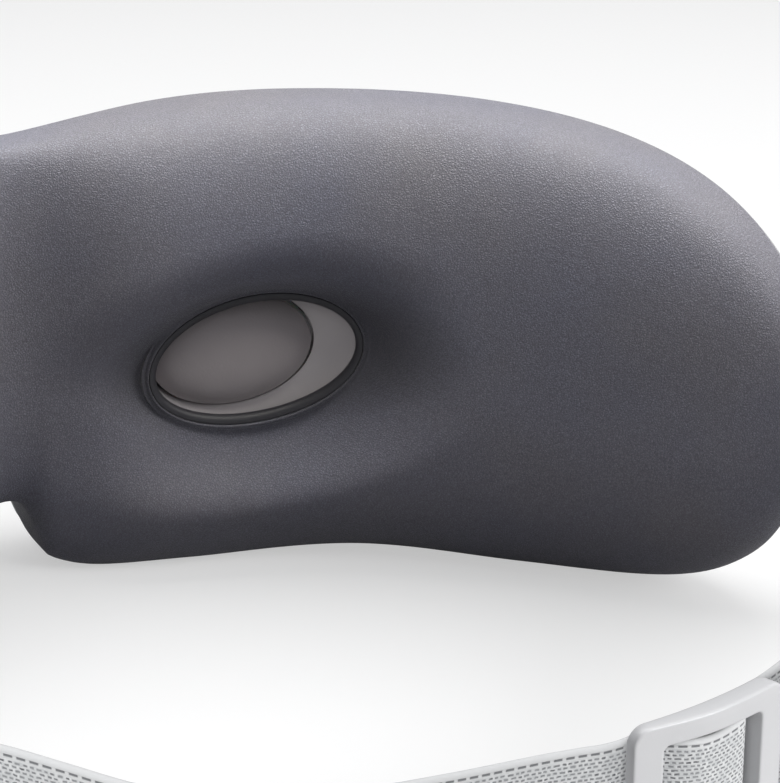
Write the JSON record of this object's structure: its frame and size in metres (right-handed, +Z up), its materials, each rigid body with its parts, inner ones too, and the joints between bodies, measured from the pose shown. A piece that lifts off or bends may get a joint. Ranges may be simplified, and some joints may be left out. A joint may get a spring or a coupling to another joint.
{
  "type": "eye massager mask",
  "caption": "Wrap-around padded eye massager mask with air-driven warm eye pads, a power button and an elastic head strap with a sliding buckle.",
  "frame": {"origin": "on the surface the mask stands on, under the middle of the whole object's box", "axes": "+Z up, +Y towards the hard front, -Y towards the wearer's face and the strap's bend behind the head, +X to the right when looking along +Y"},
  "size_m": [0.2119, 0.1764, 0.0753],
  "materials": {
    "shell": "satin light grey moulded plastic",
    "inner_plastic": "matt dark plastic",
    "leatherette": "soft dark blue-grey leatherette with a fine grain",
    "eye_rim": "glossy near-black plastic",
    "eye_cup": "satin warm grey plastic",
    "pad": "soft grey-brown silicone",
    "silicone": "milky silicone rubber",
    "film": "amber film",
    "button": "satin light grey",
    "light_guide": "milky light guide",
    "circuit_board": "green circuit board",
    "cell_wrap": "blue-grey foil",
    "steel": "plain",
    "speaker_black": "black paper cone and basket",
    "strap": "light heather-grey woven elastic",
    "buckle": "satin light grey plastic"
  },
  "bodies": {
    "mask": {"front_shell": "shell", "rear_housing": "inner_plastic", "cushion_carrier": "inner_plastic", "face_cushion": "leatherette", "light_ring": "light_guide", "main_board": "circuit_board", "battery": "cell_wrap", "pump_motor": "steel", "pump_head": "inner_plastic", "bleed_valve": "inner_plastic", "speaker": "speaker_black", "charging_port": "steel", "charging_board": "circuit_board", "air_tube_left": "silicone", "air_tube_right": "silicone", "eye_rim_left": "eye_rim", "eye_cup_left": "eye_cup", "air_bladder_left": "silicone", "vibration_motor_left": "steel", "pivot_pin_left": "buckle", "housing_screw_left_1": "steel", "housing_screw_left_2": "steel", "housing_screw_left_3": "steel", "eye_rim_right": "eye_rim", "eye_cup_right": "eye_cup", "air_bladder_right": "silicone", "vibration_motor_right": "steel", "pivot_pin_right": "buckle", "housing_screw_right_1": "steel", "housing_screw_right_2": "steel", "housing_screw_right_3": "steel"},
    "eye_pad_left": {"eye_pad_left": "pad", "heating_film_left": "film"},
    "eye_pad_right": {"eye_pad_right": "pad", "heating_film_right": "film"},
    "power_button": {"power_button": "button"},
    "headband": {"head_strap": "strap", "strap_lug_left": "buckle", "strap_lug_right": "buckle"},
    "sliding_buckle": {"buckle": "buckle", "strap_bight": "strap"}
  },
  "joints": [
    {"name": "headband_tilt", "type": "hinge", "parent": "mask", "child": "headband", "pos_m": [0, -0.00134, 0.036], "axis": [-1, 0, 0], "range_deg": [-20, 60]},
    {"name": "buckle_travel", "type": "hinge", "parent": "headband", "child": "sliding_buckle", "pos_m": [0.0124, -0.0125, 0.018], "axis": [0, 0, 1], "range_deg": [-9, 9]},
    {"name": "eye_pad_right_out", "type": "slide", "parent": "mask", "child": "eye_pad_right", "axis": [-0.3695, -0.9292, 0], "range_m": [0, 0.0025], "stiffness_N_per_m": 180},
    {"name": "eye_pad_left_out", "type": "slide", "parent": "mask", "child": "eye_pad_left", "axis": [0.3695, -0.9292, 0], "range_m": [0, 0.0025], "stiffness_N_per_m": 180},
    {"name": "power_button_press", "type": "slide", "parent": "mask", "child": "power_button", "axis": [0, -1, 0], "range_m": [0, 0.0006], "stiffness_N_per_m": 1500}
  ],
  "couplings": [
    {"joint": "eye_pad_left_out", "follows": "eye_pad_right_out", "ratio": 1}
  ]
}
